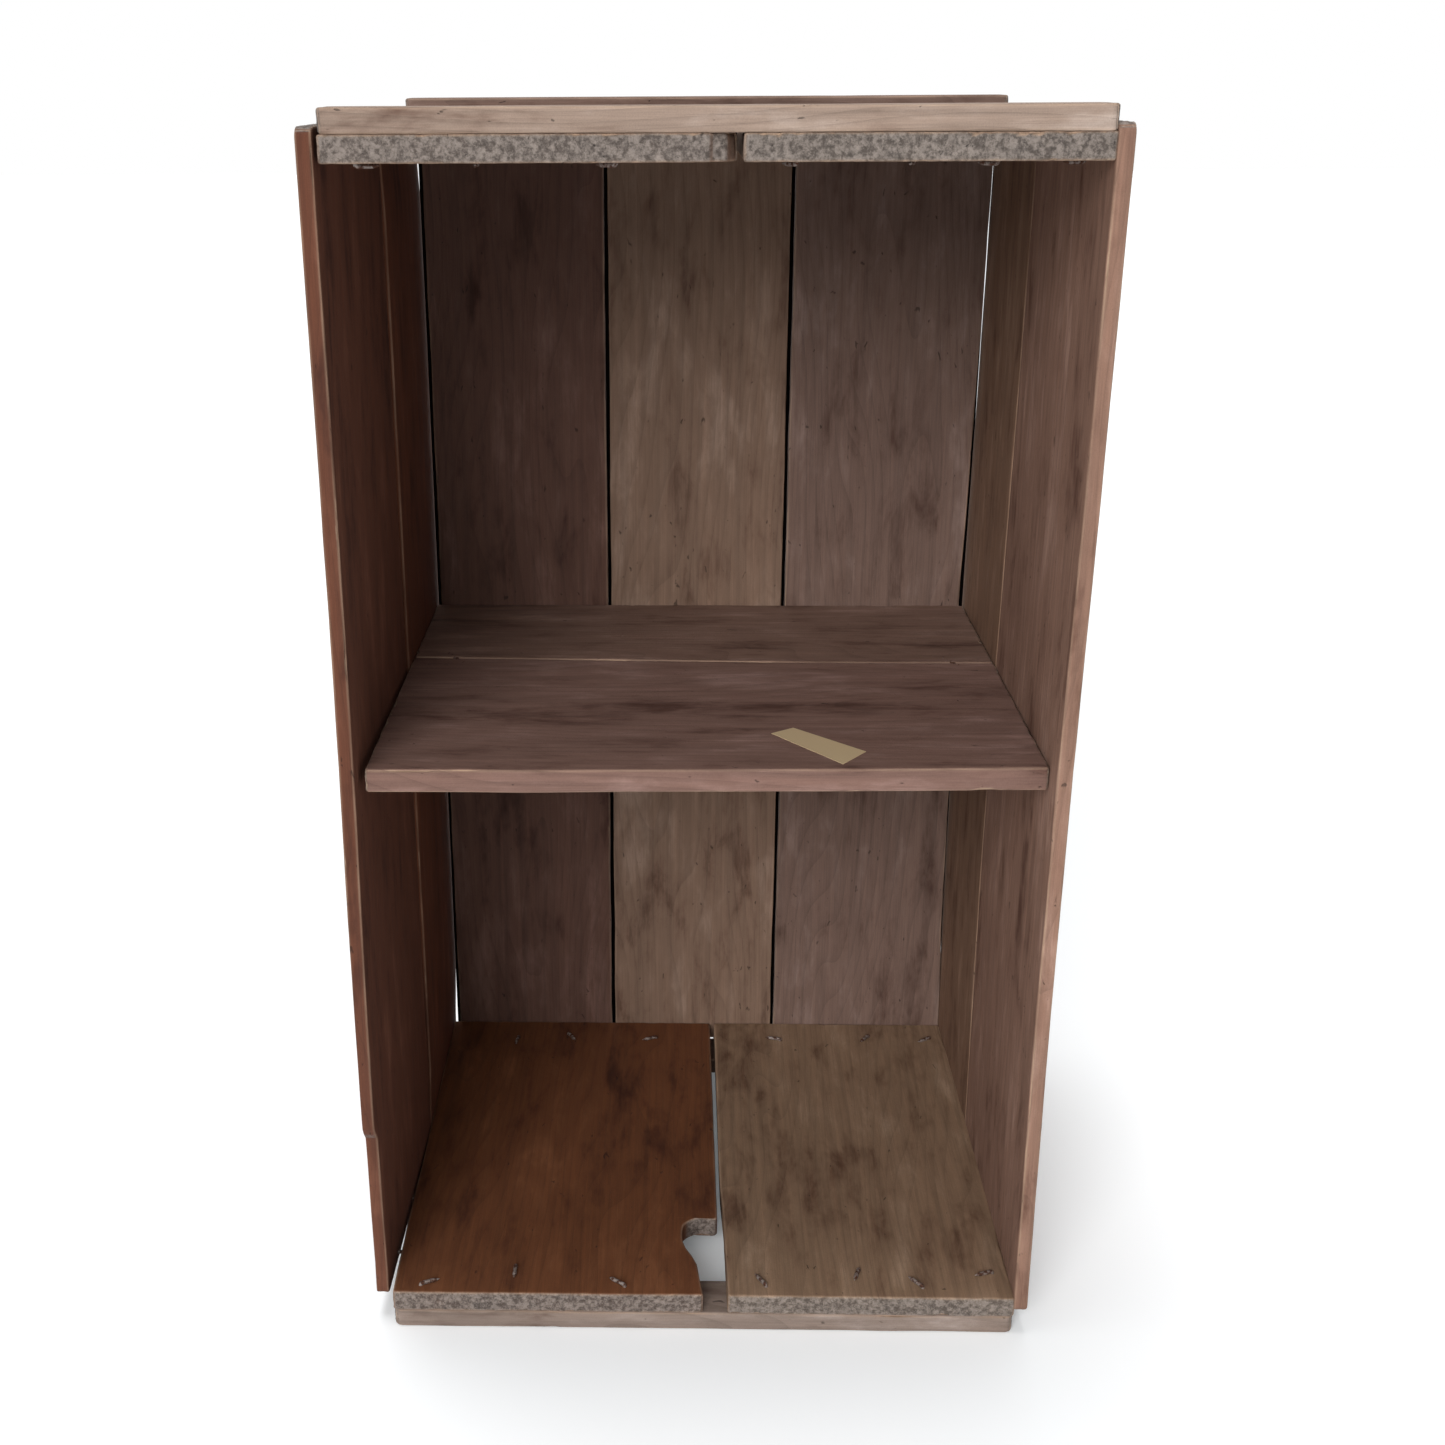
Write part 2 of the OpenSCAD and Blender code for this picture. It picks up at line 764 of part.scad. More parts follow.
bottom_end_left_board();
bottom_end_right_board();
bottom_front_cleat();
bottom_rear_cleat();
top_end_left_board();
top_end_right_board();
top_front_cleat();
top_rear_cleat();
left_side_front_board();
left_side_rear_board();
right_side_front_board();
right_side_rear_board();
back_left_board();
back_middle_board();
back_right_board();
shelf_front_board();
shelf_rear_board();
left_corrugated_fastener();
right_corrugated_fastener();
bottom_front_cleat_nails();
bottom_rear_cleat_nails();
top_front_cleat_nails();
top_rear_cleat_nails();
left_side_end_nails();
right_side_end_nails();
left_side_shelf_nails();
right_side_shelf_nails();
back_bottom_nails();
back_top_nails();
back_shelf_nails();
tape_scrap();
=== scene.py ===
"""Looks of an old cleated shipping case that stands on end with its long face open.

Every board is one closed surface worked out with numpy: the skin of a three-way grid, with worn arrises,
breaks, chips and splinters. Lengths in the shape functions are millimetres in the frame's
axes, +X right, +Y back, +Z up, and the meshes are in metres.
"""

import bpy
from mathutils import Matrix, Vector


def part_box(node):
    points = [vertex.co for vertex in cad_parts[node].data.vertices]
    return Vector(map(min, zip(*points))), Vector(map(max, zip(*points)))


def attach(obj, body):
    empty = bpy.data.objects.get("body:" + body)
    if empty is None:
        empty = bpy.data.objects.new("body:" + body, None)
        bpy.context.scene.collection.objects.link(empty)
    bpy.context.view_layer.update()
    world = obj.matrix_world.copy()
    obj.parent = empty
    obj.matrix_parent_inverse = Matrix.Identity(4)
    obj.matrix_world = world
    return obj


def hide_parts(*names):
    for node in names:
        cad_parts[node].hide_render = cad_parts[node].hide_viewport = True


bl_info = {
    "name": "Old shipping case",
    "version": (1, 0, 0),
    "blender": (4, 5, 0),
    "location": "3D View > Sidebar > Shipping case",
    "description": "Makes the worn boards, cleats, nails and tape of an old wooden shipping case",
    "category": "Add Mesh",
}

import math

import bpy
import numpy as np
from mathutils import Matrix

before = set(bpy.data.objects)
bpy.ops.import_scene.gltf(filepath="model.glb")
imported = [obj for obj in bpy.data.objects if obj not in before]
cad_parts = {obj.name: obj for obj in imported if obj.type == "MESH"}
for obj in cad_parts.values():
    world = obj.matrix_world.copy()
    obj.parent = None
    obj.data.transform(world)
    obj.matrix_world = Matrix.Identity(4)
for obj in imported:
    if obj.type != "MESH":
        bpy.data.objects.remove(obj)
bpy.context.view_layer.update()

MM = 0.001
BODY = "root"


def box_mm(node):
    """Lowest and highest corner of a node of the frame, in millimetres."""
    return [np.array(corner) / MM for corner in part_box(node)]


CASE_LOW = np.min([box_mm(node)[0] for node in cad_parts], axis=0)
CASE_HIGH = np.max([box_mm(node)[1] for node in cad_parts], axis=0)


# Noise

def hashed(i, j, k, seed):
    """Even random numbers from 0 to 1 for whole-number points, by mixing the bits of their three indices."""
    h = (i * 374761393 + j * 668265263 + k * 1440662683 + seed * 1274126177) & 0xFFFFFFFF
    h = ((h ^ (h >> 13)) * 1274126177) & 0xFFFFFFFF
    h = h ^ (h >> 16)
    return (h & 0xFFFFFF) / float(0xFFFFFF)


def noise(points, cell, seed):
    """Smooth noise from -1 to 1: the eight random corners of each cell, blended by a smoothstep on each axis."""
    place = points / np.asarray(cell, float)
    base = np.floor(place).astype(np.int64)
    part = smooth(place - base)
    total = np.zeros(len(points))
    for corner in range(8):
        bits = [(corner >> axis) & 1 for axis in range(3)]
        weight = np.prod([part[:, a] if bits[a] else 1 - part[:, a] for a in range(3)], axis=0)
        total += weight * hashed(base[:, 0] + bits[0], base[:, 1] + bits[1], base[:, 2] + bits[2], seed)
    return 2 * total - 1


def layered(points, cell, seed, layers=3):
    """Noise plus halves of itself at half the cell size, for a surface that is rough at several scales."""
    cell = np.asarray(cell, float)
    return sum(noise(points, cell / 2 ** n, seed + n) / 2 ** n for n in range(layers)) / 1.6


def smooth(x):
    """Smoothstep from 0 to 1 of a value held between 0 and 1."""
    x = np.clip(x, 0, 1)
    return x * x * (3 - 2 * x)


# Surfaces

def spread(length, fine, coarse, growth=0.2, spots=()):
    """Grid positions from 0 to length, close at both ends and at the spots.

    The wanted spacing grows in proportion to the distance from the nearest of them. The positions are even
    steps of the running count of points which that spacing gives."""
    x = np.linspace(0, length, 4001)
    near = np.min([np.abs(x - spot) for spot in (0, length, *spots)], axis=0)
    density = 1 / np.clip(fine + growth * near, fine, coarse)
    count = np.concatenate([[0], np.cumsum((density[1:] + density[:-1]) / 2 * np.diff(x))])
    return np.interp(np.linspace(0, count[-1], int(np.ceil(count[-1])) + 1), count, x)


def lattice(s, l, t):
    """Points and quads of a box's closed skin: the outer layer of a three-way grid, each point used once."""
    inside = np.zeros((len(s), len(l), len(t)), bool)
    inside[1:-1, 1:-1, 1:-1] = True
    number = np.full(inside.shape, -1)
    number[~inside] = np.arange((~inside).sum())
    points = np.stack(np.meshgrid(s, l, t, indexing="ij"), -1)[~inside]
    sides = [(number[0], True), (number[-1], False), (number[:, 0], False),
             (number[:, -1], True), (number[:, :, 0], True), (number[:, :, -1], False)]
    quads = []
    for side, turned in sides:
        quad = np.stack([side[:-1, :-1], side[1:, :-1], side[1:, 1:], side[:-1, 1:]], -1).reshape(-1, 4)
        quads.append(quad[:, ::-1] if turned else quad)
    return points, np.concatenate(quads)


def point_normals(points, quads):
    """Unit normals at the points: the cross products of each quad's diagonals, added up at its corners."""
    corners = points[quads]
    cross = np.cross(corners[:, 2] - corners[:, 0], corners[:, 3] - corners[:, 1])
    total = np.stack([sum(np.bincount(quads[:, c], cross[:, a], len(points)) for c in range(4))
                      for a in range(3)], -1)
    return total / np.maximum(np.linalg.norm(total, axis=1, keepdims=True), 1e-12)


def rounded(points, size, radius):
    """Box skin with rounded arrises: each point is drawn in to its radius around the box's shrunken core."""
    radius = np.broadcast_to(np.asarray(radius, float), (len(points),))[:, None]
    core = np.clip(points, radius, size - radius)
    away = points - core
    return core + radius * away / np.maximum(np.linalg.norm(away, axis=1, keepdims=True), 1e-9)


def tube(path, radii, sides=8):
    """Points and quads of a tube along a path: a ring of points square to the path at each of its points.

    The path's own tangent turns a fixed side vector out of line, and a point closes each end."""
    path = np.asarray(path, float)
    radii = np.asarray(radii, float)
    tangent = np.gradient(path, axis=0)
    tangent /= np.linalg.norm(tangent, axis=1, keepdims=True)
    guide = np.array([0.31, 0.87, 0.39])
    first = np.cross(tangent, guide)
    first /= np.linalg.norm(first, axis=1, keepdims=True)
    second = np.cross(tangent, first)
    turn = np.linspace(0, 2 * math.pi, sides, endpoint=False)
    ring = np.cos(turn)[None, :, None] * first[:, None] + np.sin(turn)[None, :, None] * second[:, None]
    body = path[:, None] + radii[:, None, None] * ring
    number = np.arange(len(path) * sides).reshape(len(path), sides)
    after = np.roll(number, -1, axis=1)
    quads = np.stack([number[:-1], after[:-1], after[1:], number[1:]], -1).reshape(-1, 4)
    ends = [(number[0], after[0], len(path) * sides, False), (number[-1], after[-1], len(path) * sides + 1, True)]
    caps = [np.stack([b, a, np.full(sides, tip), np.full(sides, tip)], -1) if not far else
            np.stack([a, b, np.full(sides, tip), np.full(sides, tip)], -1) for a, b, tip, far in ends]
    points = np.concatenate([body.reshape(-1, 3), path[[0, -1]]])
    return points, np.concatenate([quads, *caps])


def joined(parts):
    """One list of points and quads from several."""
    offsets = np.cumsum([0] + [len(points) for points, _ in parts[:-1]])
    return (np.concatenate([points for points, _ in parts]),
            np.concatenate([quads + offset for (_, quads), offset in zip(parts, offsets)]))


def mesh_piece(name, points, quads, replaced=(), fields=None, shade_smooth=True):
    """A closed mesh object from points in millimetres; a quad whose last two corners are one is a triangle."""
    inner_low, inner_high = CASE_LOW + 0.02, CASE_HIGH - 0.02
    points = np.clip(points, inner_low, inner_high)
    three = quads[:, 2] == quads[:, 3]
    mesh = bpy.data.meshes.new(name)
    faces = quads[~three]
    triangles = quads[three][:, :3]
    loops = np.concatenate([faces.reshape(-1), triangles.reshape(-1)]).astype(np.int32)
    counts = np.concatenate([np.full(len(faces), 4), np.full(len(triangles), 3)])
    starts = np.concatenate([[0], np.cumsum(counts)[:-1]]).astype(np.int32)
    mesh.vertices.add(len(points))
    mesh.vertices.foreach_set("co", (points * MM).astype(np.float32).reshape(-1))
    mesh.loops.add(len(loops))
    mesh.loops.foreach_set("vertex_index", loops)
    mesh.polygons.add(len(counts))
    mesh.polygons.foreach_set("loop_start", starts)
    mesh.update(calc_edges=True)
    mesh.validate()
    mesh.polygons.foreach_set("use_smooth", np.full(len(mesh.polygons), shade_smooth))
    for kind, values in (fields or {}).items():
        attribute = mesh.attributes.new(kind, "FLOAT", "POINT")
        attribute.data.foreach_set("value", values.astype(np.float32))
    piece = bpy.data.objects.new(name, mesh)
    bpy.context.scene.collection.objects.link(piece)
    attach(piece, BODY)
    if replaced:
        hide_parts(*replaced)
    return piece


# Finishes

class Paint:
    """A material's node tree, with short names for the nodes that the finishes are built from."""

    def __init__(self, name):
        self.material = bpy.data.materials.new(name)
        self.material.use_nodes = True
        self.tree = self.material.node_tree
        self.tree.nodes.clear()

    def node(self, kind, inputs=(), **settings):
        """A node with its settings, and its inputs given as numbers, colours or other nodes' outputs."""
        made = self.tree.nodes.new(kind)
        for key, value in settings.items():
            setattr(made, key, value)
        for key, value in dict(inputs).items():
            if isinstance(value, bpy.types.NodeSocket):
                self.tree.links.new(value, made.inputs[key])
            else:
                made.inputs[key].default_value = value
        return made

    def math(self, operation, a, b=0.0, c=0.0, clamp=False):
        return self.node("ShaderNodeMath", {0: a, 1: b, 2: c}, operation=operation, use_clamp=clamp).outputs[0]

    def scaled(self, vector, scale):
        """The vector with each axis multiplied by its own scale, in cells per metre."""
        return self.node("ShaderNodeVectorMath", {0: vector, 1: scale}, operation="MULTIPLY").outputs[0]

    def clouds(self, vector, scale, detail=3.0, roughness=0.55, distortion=0.0):
        """Fractal noise from 0 to 1 with its own scale on each axis."""
        return self.node("ShaderNodeTexNoise", {"Vector": self.scaled(vector, scale), "Scale": 1.0, "Detail": detail,
                                                "Roughness": roughness, "Distortion": distortion}).outputs[0]

    def step(self, value, low, high):
        """Smoothstep of a value from 0 at low to 1 at high; low above high turns it round."""
        return self.node("ShaderNodeMapRange", {"Value": value, "From Min": low, "From Max": high},
                         interpolation_type="SMOOTHSTEP").outputs[0]

    def mix(self, share, a, b, blend="MIX"):
        """Colour a with a share of colour b over it."""
        return self.node("ShaderNodeMix", {0: share, 6: a, 7: b}, data_type="RGBA", blend_type=blend).outputs[2]

    def field(self, name):
        """A per-point value that the piece carries."""
        return self.node("ShaderNodeAttribute", attribute_name=name).outputs["Fac"]

    def place(self, order="xyz"):
        """Object coordinates with their axes put in the given order."""
        found = self.node("ShaderNodeTexCoord").outputs["Object"]
        if order == "xyz":
            return found
        split = self.node("ShaderNodeSeparateXYZ", {0: found})
        return self.node("ShaderNodeCombineXYZ",
                         {i: split.outputs["xyz".index(axis)] for i, axis in enumerate(order)}).outputs[0]

    def surface(self, colour, roughness, height=None, bump_mm=0.3, **constants):
        """Ends the tree in a Principled shader, with a bump of the given full height in millimetres."""
        shader = self.node("ShaderNodeBsdfPrincipled", {"Base Color": colour, "Roughness": roughness})
        for key, value in constants.items():
            shader.inputs[key.replace("_", " ")].default_value = value
        if height is not None:
            bump = self.node("ShaderNodeBump", {"Height": height, "Distance": bump_mm * MM, "Strength": 1.0})
            self.tree.links.new(bump.outputs[0], shader.inputs["Normal"])
        out = self.node("ShaderNodeOutputMaterial")
        self.tree.links.new(shader.outputs[0], out.inputs["Surface"])
        return self.material


def rgb(*values):
    """A colour written as 0 to 255 on the screen, as the linear values that shaders use."""
    return tuple(((v / 255 + 0.055) / 1.055) ** 2.4 if v > 10 else v / 255 / 12.92 for v in values) + (1.0,)


OLIVE = (122, 98, 70)
MAUVE = (116, 86, 84)
ORANGE = (146, 84, 42)
RED = (78, 30, 20)


def old_wood(name, order, offset, dark, mid, light, stain=(14, 5, 4), grey=(120, 112, 106), pale=(182, 154, 130), contrast=1.0, rings=1.0, pits=1.0):
    """Aged softwood. Order names the axes across, along and through the board, and offset moves its grain.

    Three tones follow large stretched clouds, with streaks, hair-fine fibres, ring lines and small dark pits
    over them. The board's fields then bring fresh, stained, weathered and orange wood in, with ragged edges."""
    p = Paint(name)
    here = p.node("ShaderNodeVectorMath", {0: p.place(order), 1: offset}, operation="ADD").outputs[0]
    cloud = p.clouds(here, (28, 6, 28), 5, 0.6, 0.4)
    patch = p.clouds(here, (70, 22, 70), 4, 0.6, 0.3)
    streak = p.clouds(here, (260, 5, 260), 5, 0.62, 0.25)
    fibre = p.clouds(here, (1400, 26, 1400), 3, 0.6)
    fuzz = p.clouds(here, (420, 420, 420), 4, 0.7)
    grit = p.clouds(here, (1500, 1500, 1500), 2, 0.6)
    wander = p.clouds(here, (9, 1.6, 9), 2, 0.5)
    split = p.node("ShaderNodeSeparateXYZ", {0: here})
    ring_place = p.math("ADD", p.math("MULTIPLY", split.outputs[0], 150.0),
                        p.math("ADD", p.math("MULTIPLY", split.outputs[2], 90.0), p.math("MULTIPLY", wander, 26.0)))
    ring = p.math("POWER", p.math("FRACT", ring_place), 5.0)
    pit_cloud = p.clouds(here, (300, 120, 300), 2, 0.5, 0.6)
    pit = p.math("MULTIPLY", p.step(pit_cloud, 0.71, 0.76), pits)

    tone = p.math("ADD", p.math("MULTIPLY", cloud, 0.55), p.math("MULTIPLY", patch, 0.45))
    tone = p.math("ADD", p.math("MULTIPLY", p.math("SUBTRACT", tone, 0.5), 2.6 * contrast), 0.5, clamp=True)
    colour = p.mix(p.step(tone, 0.5, 1.0), p.mix(p.step(tone, 0.0, 0.5), rgb(*dark), rgb(*mid)), rgb(*light))
    ragged = p.math("ADD", p.math("MULTIPLY", p.math("SUBTRACT", patch, 0.5), 0.7),
                    p.math("MULTIPLY", p.math("SUBTRACT", streak, 0.5), 0.7))

    def share(field, wildness=3.0):
        """A field's share, made ragged where it is neither 0 nor 1."""
        value = p.field(field)
        slope = p.math("MULTIPLY", value, p.math("SUBTRACT", 1.0, value))
        return p.math("ADD", value, p.math("MULTIPLY", p.math("MULTIPLY", ragged, slope), wildness), clamp=True)

    for kind, tint in (("olive", OLIVE), ("mauve", MAUVE), ("orange", ORANGE), ("red", RED)):
        colour = p.mix(share(kind), colour, p.mix(streak, rgb(*(0.8 * v for v in tint)), rgb(*(1.15 * v for v in tint))))
    end = p.field("end")
    colour = p.mix(p.math("MULTIPLY", end, 0.85), colour,
                   p.mix(p.step(fuzz, 0.35, 0.65), rgb(*(0.6 * v for v in grey)), rgb(*(1.15 * v for v in grey))))
    fresh = p.mix(fibre, rgb(*(0.8 * v for v in pale)), rgb(*(min(255, 1.12 * v) for v in pale)))
    colour = p.mix(share("pale"), colour, fresh)
    colour = p.mix(share("dark", 2.0), colour, rgb(*stain))
    shade = p.math("ADD", 1.0, p.math("ADD", p.math("MULTIPLY", p.math("SUBTRACT", streak, 0.5), 0.75 * contrast),
                   p.math("MULTIPLY", p.math("SUBTRACT", fibre, 0.5), 0.42)))
    shade = p.math("ADD", shade, p.math("MULTIPLY", p.math("SUBTRACT", grit, 0.5), 0.35))
    shade = p.math("MULTIPLY", shade, p.math("SUBTRACT", 1.0, p.math("MULTIPLY", ring, 0.16 * rings)))
    shade = p.math("MULTIPLY", shade, p.math("SUBTRACT", 1.0, p.math("MULTIPLY", pit, 0.55)))
    tint = p.node("ShaderNodeCombineXYZ", {0: shade, 1: shade, 2: shade}).outputs[0]
    colour = p.mix(1.0, colour, tint, "MULTIPLY")

    height = p.math("ADD", p.math("MULTIPLY", fibre, 0.4), p.math("MULTIPLY", streak, 0.3))
    height = p.math("ADD", height, p.math("MULTIPLY", fuzz, 0.3))
    height = p.math("SUBTRACT", height, p.math("MULTIPLY", pit, 0.8))
    height = p.math("SUBTRACT", height, p.math("MULTIPLY", ring, 0.12 * rings))
    rough = p.math("ADD", 0.72, p.math("MULTIPLY", streak, 0.25), clamp=True)
    return p.surface(colour, rough, height, 0.45, Specular_IOR_Level=0.3)


def rusty_steel(name, shiny=0.25):
    """Old steel wire: dark brown rust in clouds, with rubbed grey patches and a grainy height."""
    p = Paint(name)
    here = p.place()
    cloud = p.clouds(here, (300, 300, 300), 4, 0.6)
    grain = p.clouds(here, (2400, 2400, 2400), 3, 0.6)
    rubbed = p.step(p.clouds(here, (420, 420, 420), 3, 0.6), 0.6 - 0.3 * shiny, 0.72 - 0.2 * shiny)
    rust = p.mix(cloud, rgb(38, 20, 14), rgb(104, 62, 40))
    rust = p.mix(p.step(grain, 0.3, 0.7), p.mix(0.35, rust, rgb(20, 12, 10)), rust)
    colour = p.mix(p.math("MULTIPLY", rubbed, 0.8), rust, rgb(150, 140, 134))
    return p.surface(colour, p.math("SUBTRACT", 0.85, p.math("MULTIPLY", rubbed, 0.35)), grain, 0.12,
                     Metallic=0.35, Specular_IOR_Level=0.5)


# Marks on the wood

PLANES = {"x": (1, 2), "y": (0, 2), "z": (0, 1)}
FIELDS = ("pale", "dark", "red", "mauve", "olive", "orange")


def mark_fields(points, normals, marks, seed):
    """The share of each mark at the points: an oval of given half sizes on the faces that look one way.

    The oval's distance is warped by noise, and the share falls off over the mark's soft rim."""
    values = {kind: np.zeros(len(points)) for kind in FIELDS}
    for number, (facing, kind, middle, half, strength, soft, turn) in enumerate(marks):
        sign = 1 if facing[0] == "+" else -1
        axis = "xyz".index(facing[1])
        i, j = PLANES[facing[1]]
        near = min(half)
        warp = [layered(points, max(6.0, near * 0.8), seed + 31 * number + n) * near * 0.3 for n in (0, 7)]
        a, b = points[:, i] - middle[0] + warp[0], points[:, j] - middle[1] + warp[1]
        angle = math.radians(turn)
        along, across = a * math.cos(angle) + b * math.sin(angle), b * math.cos(angle) - a * math.sin(angle)
        distance = np.hypot(along / half[0], across / half[1])
        share = smooth((1 - distance) / soft + 0.5) * smooth(sign * normals[:, axis] * 1.6 - 0.3)
        values[kind] = np.maximum(values[kind], share * strength)
    return values


# Boards

def board_frame(node, axes, lean=0.0):
    """A board's origin, its unit axes across, along and through it, and its sizes.

    Axes names them with signs, such as +y+z-x, and the origin is the corner where all three start. A leaning
    board's first and third axes are turned about the vertical, and its sizes are taken back from its box."""
    low, high = box_mm(node)
    units, origin, size = [], np.zeros(3), []
    for sign, letter in zip(axes[::2], axes[1::2]):
        axis = "xyz".index(letter)
        unit = np.zeros(3)
        unit[axis] = 1 if sign == "+" else -1
        units.append(unit)
        origin[axis] = low[axis] if sign == "+" else high[axis]
        size.append(high[axis] - low[axis])
    units, size = np.array(units), np.array(size)
    if lean:
        c, s = math.cos(lean), math.sin(lean)
        units[0], units[2] = np.array([s, c, 0]), np.array([-c, s, 0])
        across = (high[1] - low[1] - size[2] * s * s / c) / c
        wide = (high[1] - low[1]) / c
        thick = (high[0] - low[0] - wide * s) / c
        size[0], size[2] = wide, thick
        origin = np.array([high[0] - wide * s, low[1], low[2]])
    return origin, units, size


def corner_rounded(points, size, radius):
    """Plan corners of a board: inside each corner square, a point's larger offset becomes its distance."""
    core = np.clip(points[:, :2], radius, size[:2] - radius)
    away = points[:, :2] - core
    longest = np.abs(away).max(axis=1, keepdims=True)
    points = points.copy()
    points[:, :2] = core + away * longest / np.maximum(np.linalg.norm(away, axis=1, keepdims=True), 1e-9)
    return points


def edge_moved(points, base, size, axis, far, rows, reach, blur=1.5):
    """Moves one edge of a board along a line of shifts, fading out smoothly over the reach inside the board.

    Rows give, for places along the edge, the shift away from the straight edge across and along it."""
    along = base[:, 1 - axis]
    table = np.array(rows, float)
    dense = np.arange(-20, size[1 - axis] + 20, 0.25)
    kernel = np.ones(max(1, int(blur / 0.25)))
    kernel /= kernel.sum()
    depth = size[axis] - base[:, axis] if far else base[:, axis]
    share = smooth(1 - depth / reach)
    for column, target in ((1, axis), (2, 1 - axis)):
        line = np.convolve(np.interp(dense, table[:, 0], table[:, column]), kernel, mode="same")
        points[:, target] += share * np.interp(along, dense, line)
    return points


def worn_board(name, node, axes, slot, seed, lean=0.0, ease=1.4, corner=2.0, coarse=(2.4, 4.0), fine=0.55,
               spots=((), ()), edges=(), bend=None, face=None, rough=0.22, wave=0.35, chips=1.6, chip_cell=28.0,
               end_rough=0.5, marks=(), extra=(), thick_cells=5):
    """One board as the closed skin of a grid, in place.

    Its box is taken from the frame. The arrises are rounded by a radius that noise varies along the grain, the
    plan corners by a larger one, and the edges follow their rows of shifts. Bend moves all layers, face sinks
    parts of the first face. Chips cut the arrises back where noise stretched along the grain is high, and
    noise moves every point along its normal, more on the ends of the grain."""
    origin, units, size = board_frame(node, axes, lean)
    grid = [spread(size[0], fine, coarse[0], 0.22, spots[0]), spread(size[1], fine, coarse[1], 0.16, spots[1]),
            spread(size[2], fine, size[2] / thick_cells, 0.3)]
    base, quads = lattice(*grid)
    grain = np.array([9.0, 60.0, 9.0])
    radius = ease * (1 + 0.45 * layered(base + 13.7 * seed, (14, 40, 14), seed, 2))
    radius = np.clip(radius, 0.3, 0.45 * size[2])
    points = rounded(base, size, radius)
    points = corner_rounded(points, size, corner)
    for axis, far, rows, reach in edges:
        points = edge_moved(points, base, size, axis, far, rows, reach)
    depths = np.concatenate([base, size - base], axis=1)
    to_arris = np.sort(depths, axis=1)[:, 1]
    edge_share = [smooth(1 - depths[:, c] / 12) for c in (0, 3)]
    for share, push in zip(edge_share, (1, 11)):
        points[:, 0] += share * wave * layered(np.stack([base[:, 1], base[:, 2] * 0.3, base[:, 0] * 0], 1),
                                               (45, 12, 30), seed + push)
    for share_depth, push in ((depths[:, 1], 21), (depths[:, 4], 31)):
        points[:, 1] += smooth(1 - share_depth / 10) * 0.5 * wave * layered(base * (1, 0, 0.4), (9, 9, 9), seed + push)
    if bend:
        points = points + bend(base, size)
    if face:
        sunk = face(points, base, size)
        points[:, 2] += sunk * smooth(1 - base[:, 2] / (0.75 * size[2]))
    normals = point_normals(points, quads)
    turned = np.linalg.det(units) < 0
    chip_noise = layered(base + 7.1 * seed, (chip_cell * 0.25, chip_cell, chip_cell * 0.25), seed + 41, 3)
    cut = np.clip(chips * smooth((chip_noise - 0.12) / 0.75) - 0.9 * to_arris, 0, None)
    is_end = smooth((np.abs(normals[:, 1]) - 0.45) / 0.35)
    is_edge = smooth((np.abs(normals[:, 0]) - 0.45) / 0.35)
    bumps = rough * (0.6 * layered(base + 3.3 * seed, grain, seed + 51) + 0.5 * layered(base, (3, 26, 3), seed + 61, 2))
    bumps = bumps * (1 - is_end) * (1 + 0.8 * is_edge) + is_end * end_rough * (
        0.55 * layered(base, (5, 5, 2.2), seed + 71) + 0.35 * noise(base, (1.6, 1.6, 1.2), seed + 81))
    splinter = np.clip(cut, 0, 0.5) * noise(base, (0.9, 18, 0.9), seed + 91)
    points = points + normals * (bumps - cut + 0.5 * splinter)[:, None]
    world = origin + points @ units
    world_normals = normals @ units
    fields = mark_fields(world, world_normals, marks, seed)
    fields["pale"] = np.maximum(fields["pale"], 0.85 * smooth((cut - 0.15) / 0.35))
    worn = smooth(1 - to_arris / 1.6) * (0.34 + 0.22 * layered(base, (12, 30, 12), seed + 101, 2))
    fields["pale"] = np.maximum(fields["pale"], worn)
    fields["end"] = is_end
    if turned:
        quads = quads[:, ::-1]
    parts = [(world, quads)]
    total = len(world)
    for sliver in extra:
        parts.append(sliver)
        total += len(sliver[0])
    if extra:
        for kind in fields:
            fill = {"pale": 0.8, "end": 0.0}.get(kind, 0.0)
            fields[kind] = np.concatenate([fields[kind], np.full(total - len(world), fill)])
    world, quads = joined(parts)
    return mesh_piece(name, world, quads, (node,), fields)


def splinter(start, end, thick, bow, seed, steps=9):
    """A torn fibre: a five-sided tube from start to end, thinning to a point, bowed to one side."""
    start, end, bow = (np.array(v, float) for v in (start, end, bow))
    t = np.linspace(0, 1, steps)[:, None]
    wobble = 0.12 * thick * np.stack([noise(np.stack([t[:, 0] * 40, t[:, 0] * 0, t[:, 0] * 0], 1), 7, seed + n)
                                      for n in range(3)], 1)
    path = start + (end - start) * t + bow * np.sin(math.pi * t) + wobble
    return tube(path, thick * 0.5 * (1 - 0.92 * t[:, 0] ** 1.4), 5)


# Palette helpers

def tones(mid):
    """Dark, middle and light tone of one board's wood, from its middle tone as 0 to 255 values."""
    dark = tuple(v * f for v, f in zip(mid, (0.62, 0.52, 0.48)))
    light = tuple(min(235.0, v * f + 8) for v, f in zip(mid, (1.16, 1.2, 1.24)))
    return dict(dark=dark, mid=mid, light=light)


def dress(piece, material):
    """Gives a piece its one material."""
    piece.data.materials.clear()
    piece.data.materials.append(material)
    return piece


def bell(x, middle, half):
    """A smooth hump, 1 at the middle and 0 at half the width on either side."""
    return smooth(1 - np.abs(x - middle) / half)


# The pieces

